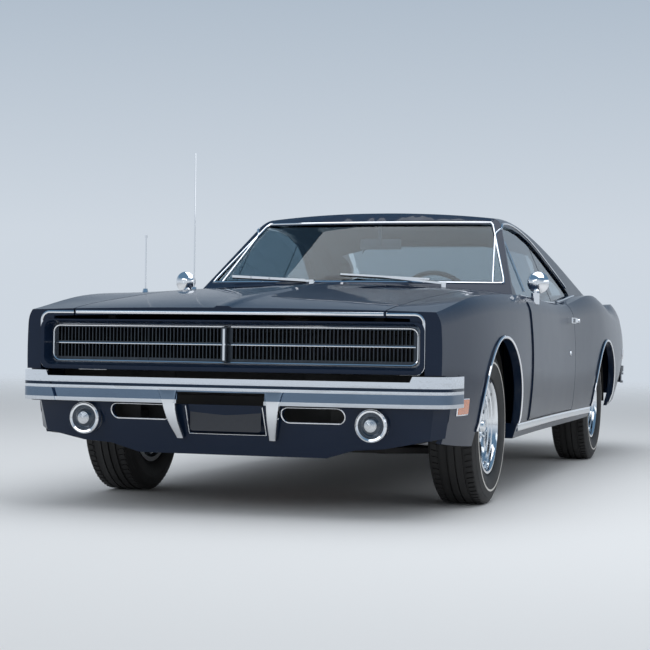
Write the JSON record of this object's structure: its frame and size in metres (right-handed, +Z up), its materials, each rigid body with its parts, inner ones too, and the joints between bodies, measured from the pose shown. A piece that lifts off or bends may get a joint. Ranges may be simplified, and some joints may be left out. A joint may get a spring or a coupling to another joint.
{
  "type": "fastback muscle car",
  "caption": "Two-door fastback muscle car with a full-width grille, chrome bumpers, opening doors, bonnet and boot lid, and wheels that roll and steer.",
  "frame": {"origin": "on the road, midway between the bumpers' ends and midway between the car's sides", "axes": "-Y towards the nose, +X towards the car's left side, +Z up"},
  "size_m": [1.9426, 5.284, 1.6099],
  "materials": {
    "paint": "deep navy gloss",
    "bright_metal": "polished",
    "glass": "clear",
    "black_steel": "satin black",
    "engine_iron": "painted",
    "tyre": "matte",
    "seat_vinyl": "satin",
    "dark_plastic": "satin",
    "red_lens": "gloss",
    "amber_lens": "gloss"
  },
  "bodies": {
    "body": {"front_fender_left": "paint", "front_fender_right": "paint", "cowl": "paint", "roof": "paint", "quarter_panel_left": "paint", "quarter_panel_right": "paint", "tail_panel": "paint", "tail_lamps": "red_lens", "deck_filler": "paint", "sills": "paint", "quarter_glass": "glass", "windshield": "glass", "rear_window": "glass", "front_valance": "paint", "front_lamps": "amber_lens", "grille_surround": "bright_metal", "grille": "dark_plastic", "front_bumper": "bright_metal", "rear_bumper": "bright_metal", "floor_pan": "black_steel", "engine_bay": "black_steel", "engine": "engine_iron", "transmission": "black_steel", "front_suspension": "black_steel", "rear_axle": "black_steel", "fuel_tank": "black_steel", "exhaust": "black_steel", "dashboard": "dark_plastic", "front_seats": "seat_vinyl", "rear_seat": "seat_vinyl", "parcel_shelf": "dark_plastic", "interior_mirror": "bright_metal", "aerials": "bright_metal", "wipers": "bright_metal"},
    "bonnet": {"hood": "paint"},
    "boot_lid": {"trunk_lid": "paint"},
    "left_door": {"door_left": "paint", "door_glass_left": "glass", "door_chrome_left": "bright_metal"},
    "right_door": {"door_right": "paint", "door_glass_right": "glass", "door_chrome_right": "bright_metal"},
    "left_knuckle": {"knuckle_left": "black_steel"},
    "right_knuckle": {"knuckle_right": "black_steel"},
    "wheel_front_left": {"tyre_fl": "tyre", "rim_fl": "bright_metal"},
    "wheel_front_right": {"tyre_fr": "tyre", "rim_fr": "bright_metal"},
    "wheel_rear_left": {"tyre_rl": "tyre", "rim_rl": "bright_metal"},
    "wheel_rear_right": {"tyre_rr": "tyre", "rim_rr": "bright_metal"},
    "hand_wheel": {"steering_wheel": "dark_plastic"}
  },
  "joints": [
    {"name": "left_steer", "type": "hinge", "parent": "body", "child": "left_knuckle", "pos_m": [0.706, -1.69, 0.334], "axis": [0, 0, 1], "range_deg": [-30, 30]},
    {"name": "right_steer", "type": "hinge", "parent": "body", "child": "right_knuckle", "pos_m": [-0.706, -1.69, 0.334], "axis": [0, 0, 1], "range_deg": [-30, 30]},
    {"name": "front_left_spin", "type": "hinge", "parent": "left_knuckle", "child": "wheel_front_left", "pos_m": [0.785, -1.69, 0.334], "axis": [1, 0, 0], "continuous": true},
    {"name": "front_right_spin", "type": "hinge", "parent": "right_knuckle", "child": "wheel_front_right", "pos_m": [-0.785, -1.69, 0.334], "axis": [1, 0, 0], "continuous": true},
    {"name": "rear_left_spin", "type": "hinge", "parent": "body", "child": "wheel_rear_left", "pos_m": [0.785, 1.282, 0.334], "axis": [1, 0, 0], "continuous": true},
    {"name": "rear_right_spin", "type": "hinge", "parent": "body", "child": "wheel_rear_right", "pos_m": [-0.785, 1.282, 0.334], "axis": [1, 0, 0], "continuous": true},
    {"name": "left_door_hinge", "type": "hinge", "parent": "body", "child": "left_door", "pos_m": [0.957, -1.05, 0.6], "axis": [0, 0, -1], "range_deg": [0, 62]},
    {"name": "right_door_hinge", "type": "hinge", "parent": "body", "child": "right_door", "pos_m": [-0.957, -1.05, 0.6], "axis": [0, 0, 1], "range_deg": [0, 62]},
    {"name": "bonnet_hinge", "type": "hinge", "parent": "body", "child": "bonnet", "pos_m": [0, -1, 0.972], "axis": [-1, 0, 0], "range_deg": [0, 48]},
    {"name": "boot_lid_hinge", "type": "hinge", "parent": "body", "child": "boot_lid", "pos_m": [0, 1.447, 0.972], "axis": [1, 0, 0], "range_deg": [0, 65]},
    {"name": "hand_wheel_turn", "type": "hinge", "parent": "body", "child": "hand_wheel", "pos_m": [0.37, -0.58747, 0.86258], "axis": [0, 0.9131, 0.4078], "range_deg": [-480, 480]}
  ],
  "couplings": [
    {"joint": "right_steer", "follows": "left_steer", "ratio": 1},
    {"joint": "hand_wheel_turn", "follows": "left_steer", "ratio": 16}
  ]
}
